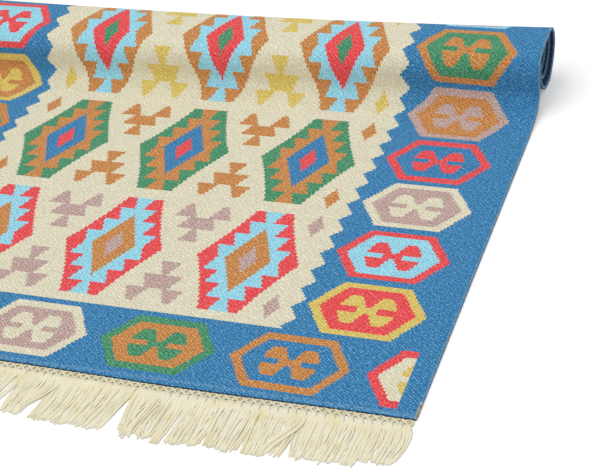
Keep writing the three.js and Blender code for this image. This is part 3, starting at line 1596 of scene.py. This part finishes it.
        spot = np.linspace(-1, 1, self.yarns)[None, :, None] + rng.normal(0, 0.12, each)
        knot = np.interp(middle, self.knot_across, self.knot_widths)
        knot = knot + rng.normal(0, self.knot_off, lock)
        fan = knot + (self.lock_width - knot) * eased(t / 0.22)
        gather = 1 + rng.uniform(-0.2, 0.15, lock) * eased((t - 0.3) / 0.7)
        drift = lean * (depth / self.reach) ** 1.6
        swept = sweep * eased((t - 0.2) / 0.8)
        swing = rng.normal(0, self.lock_swing, lock)
        phase = rng.uniform(0, 2 * np.pi, lock)
        lock_wander = swing * (np.sin(3.4 * t + phase) - np.sin(phase)) * eased(t / 0.4)
        swing = rng.normal(0, self.yarn_swing, each)
        phase = rng.uniform(0, 2 * np.pi, each)
        turns = rng.uniform(3.0, 8.0, each)
        yarn_wander = swing * (np.sin(turns * t + phase) - np.sin(phase)) * eased(t / 0.3)
        across = middle + spot * fan * gather + drift + lock_wander + yarn_wander + swept

        layer = rng.integers(0, 3, each) * self.layer
        low = self.yarn_radius * self.yarn_depth
        rest = low + layer + lifted * eased(t / 0.5) * (1 - 0.6 * t)
        down = eased(t / 0.35)
        height = self.lift * (1 - down) + rest * down
        tip = eased((t - 0.8) / 0.2)
        height = height * (1 - tip) + (low + 0.4 * layer) * tip
        return self.place(across, depth, height).reshape(-1, self.stations, 3)

    def loose(self) -> Surface:
        """Loose yarns of the locks, a little thinner towards their tips.

        Returns:
            The yarns.
        """
        rng = np.random.default_rng(31)
        lines = self.yarn_lines()
        taper = self.yarn_radius * np.linspace(1.05, 0.8, self.stations)
        shade = rng.uniform(0, 1, (self.locks, self.yarns)) * 0.7
        shade = (shade + rng.uniform(0, 0.3, (self.locks, 1))).ravel()
        return threads(lines, taper, RIGHT, 6, shade, self.yarn_depth)

    def build(
        self, yarn: bpy.types.Material, tape_yarn: bpy.types.Material
    ) -> list[bpy.types.Object]:
        """Makes the fringe's pieces.

        Args:
            yarn: Material of the heading and the locks.
            tape_yarn: Material of the tape under the heading.

        Returns:
            Tape, heading and locks, riding on the rug and standing for the CAD fringe.
        """
        pieces = [
            self.tape().piece("fringe_tape", [tape_yarn]),
            self.lattice().piece("fringe_heading", [yarn]),
            self.loose().piece("fringe_locks", [yarn]),
        ]
        for piece in pieces:
            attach(piece, "root")
            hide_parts("fringe")
        return pieces


# ---------------------------------------------------------------- studio


@dataclass(frozen=True)
class Studio:
    """White floor, an even sky, a broad soft light from above and a lower one from the front."""

    sky: float = 0.52
    sun: float = 0.95
    sun_from: Triple = (-0.20, 0.16, 1.0)
    fill: float = 0.90
    fill_from: Triple = (-0.60, -0.80, 0.60)
    spread: float = 60.0  # degrees across each light
    floor_size: float = 9.0
    floor_colour: str = "#f4f4f4"
    floor_bounce: str = "#bebebe"  # what the floor throws back on the rug
    floor_lift: float = 0.25

    def build(self) -> None:
        """Makes the floor, the sky and the lights."""
        self.floor()
        self.world()
        self.light("sun", self.sun, self.sun_from)
        self.light("fill", self.fill, self.fill_from)

    def light(self, name: str, energy: float, at: Sequence[float]) -> None:
        """Adds a broad light that shines on the rug from one side.

        Args:
            name: Its name.
            energy: Its strength.
            at: Where it stands, seen from the rug.
        """
        data = bpy.data.lights.new(name, "SUN")
        data.energy = energy
        data.angle = float(np.radians(self.spread))
        lamp = bpy.data.objects.new(name, data)
        lamp.location = at
        lamp.rotation_euler = (-Vector(at)).to_track_quat("-Z", "Y").to_euler()
        bpy.context.scene.collection.objects.link(lamp)

    def seen(self, tree: bpy.types.NodeTree) -> Field:
        """Masks what the camera sees itself, in a mirror or through glass.

        Args:
            tree: Node tree of a material or the world.

        Returns:
            Mask.
        """
        ray = add_node(tree, "ShaderNodeLightPath")
        camera = Field(tree, ray.outputs["Is Camera Ray"])
        glossy = Field(tree, ray.outputs["Is Glossy Ray"])
        through = Field(tree, ray.outputs["Is Transmission Ray"])
        return camera.apply("MAXIMUM", glossy).apply("MAXIMUM", through)

    def floor(self) -> None:
        """Lays a white floor.

        The camera sees it a little brighter than it is lit, and it throws less light on the rug
        than white paper would.
        """
        half = self.floor_size / 2
        points = np.array([[-half, -half, 0], [half, -half, 0], [half, half, 0], [-half, half, 0]])
        faces = np.array([[0, 1, 2, 3]])
        material = blank_material("white_paper_floor")
        tree = material.node_tree
        seen = self.seen(tree)
        inputs = {0: seen, 6: linear(self.floor_bounce), 7: linear(self.floor_colour)}
        colour = add_node(tree, "ShaderNodeMix", {"data_type": "RGBA"}, inputs)
        inputs = {"Base Color": colour.outputs[2], "Roughness": 1.0, "Specular IOR Level": 0.0}
        paper = add_node(tree, "ShaderNodeBsdfPrincipled", inputs=inputs)
        lift = add_node(tree, "ShaderNodeEmission", inputs={"Strength": self.floor_lift})
        inputs = {0: paper.outputs[0], 1: lift.outputs[0]}
        both = add_node(tree, "ShaderNodeAddShader", inputs=inputs)
        mix = {0: seen, 1: paper.outputs[0], 2: both.outputs[0]}
        shader = add_node(tree, "ShaderNodeMixShader", inputs=mix)
        add_node(tree, "ShaderNodeOutputMaterial", inputs={0: shader.outputs[0]})
        corners = points[None, :, :2]
        floor = Surface(points, faces, corners).piece("floor", [material])

    def world(self) -> None:
        """Lights the room evenly, and shows plain white where the camera sees past the floor."""
        world = bpy.data.worlds.new("studio")
        world.use_nodes = True
        tree = world.node_tree
        tree.nodes.clear()
        even, white = [
            add_node(tree, "ShaderNodeBackground", inputs={"Color": WHITE, "Strength": strength})
            for strength in (self.sky, 1.0)
        ]
        mix = {0: self.seen(tree), 1: even.outputs[0], 2: white.outputs[0]}
        shader = add_node(tree, "ShaderNodeMixShader", inputs=mix)
        add_node(tree, "ShaderNodeOutputWorld", inputs={0: shader.outputs[0]})
        bpy.context.scene.world = world


@dataclass(frozen=True)
class CatalogueCamera:
    """Camera that looks down the rug from its fringed right corner."""

    target: Triple = (0.300, -0.058, 0.0)
    distance: float = 2.470
    azimuth: float = -22.41  # degrees from +Y towards +X
    elevation: float = 33.86  # degrees down
    roll: float = -6.79  # degrees
    lens: float = 91.5  # millimetres

    def build(self) -> None:
        """Makes the scene's camera."""
        azimuth, elevation, roll = np.radians([self.azimuth, self.elevation, self.roll])
        level = np.array([np.sin(azimuth), np.cos(azimuth), 0.0]) * np.cos(elevation)
        look = level - np.array([0.0, 0.0, np.sin(elevation)])
        right = np.array([np.cos(azimuth), -np.sin(azimuth), 0.0])
        up = np.cross(right, look)
        turned_right = np.cos(roll) * right + np.sin(roll) * up
        turned_up = np.cos(roll) * up - np.sin(roll) * right
        pose = np.eye(4)
        pose[:3, 0] = turned_right
        pose[:3, 1] = turned_up
        pose[:3, 2] = -look
        pose[:3, 3] = np.array(self.target) - look * self.distance
        data = bpy.data.cameras.new("camera")
        data.lens = self.lens
        camera = bpy.data.objects.new("camera", data)
        camera.matrix_world = Matrix(pose.tolist())
        bpy.context.scene.collection.objects.link(camera)
        bpy.context.scene.camera = camera
        bpy.context.scene.view_settings.view_transform = "Standard"


def main() -> None:
    """Builds the rug and its studio, and reports each piece."""
    logging.basicConfig(level=logging.INFO, format="%(name)s: %(message)s", stream=sys.stdout)
    CatalogueCamera().build()
    Studio().build()
    lay = ClothLay()
    edge_yarn_and_highlight, navy_thread_and_shade_yarn, tan_yarn, tape_yarn, cotton_yarn = [
        yarn.material()
        for yarn in (
            # overlock thread, partly pale as painted highlight along the side edges and the roll's
            # layer edges
            TwistedYarn("pale_blue_overlock_thread_and_highlight", "#7fafd2", "#bdb29e", uneven=0.5),
            # navy thread on both hems' edges, dark partly as painted shade for the shadow under the
            # hem
            TwistedYarn("navy_overcast_thread_and_painted_shade", "#20384e", "#2e4a63"),
            TwistedYarn("tan_whipping_thread", "#c9bda6", "#6b625a", uneven=0.7),
            TwistedYarn("unbleached_tape_yarn", "#d9d1b5", "#c6bb9b"),
            TwistedYarn("undyed_cotton_yarn", "#f1ebcf", "#e9dcae", twist=0.15, uneven=0.08),
        )
    ]
    cloth = RugCloth(lay).build(edge_yarn_and_highlight, navy_thread_and_shade_yarn)
    edges = []
    for side, name in ((1, "right"), (-1, "left")):
        overlock = EdgeStitching(lay, side)
        edges.append(overlock.build(f"overlock_{name}", edge_yarn_and_highlight, "woven_cloth"))
        whipping = EdgeStitching(lay, side, start=0.002, end=0.038, radius=0.0009, reach=0.0030)
        edges.append(whipping.build(f"corner_whipping_{name}", tan_yarn, "fringe_yarn"))
    fringe = Fringe(lay).build(cotton_yarn, tape_yarn)
    for piece in (cloth, *edges, *fringe):
        log.info("%s has %d faces", piece.name, len(piece.data.polygons))


if __name__ == "__main__":
    main()
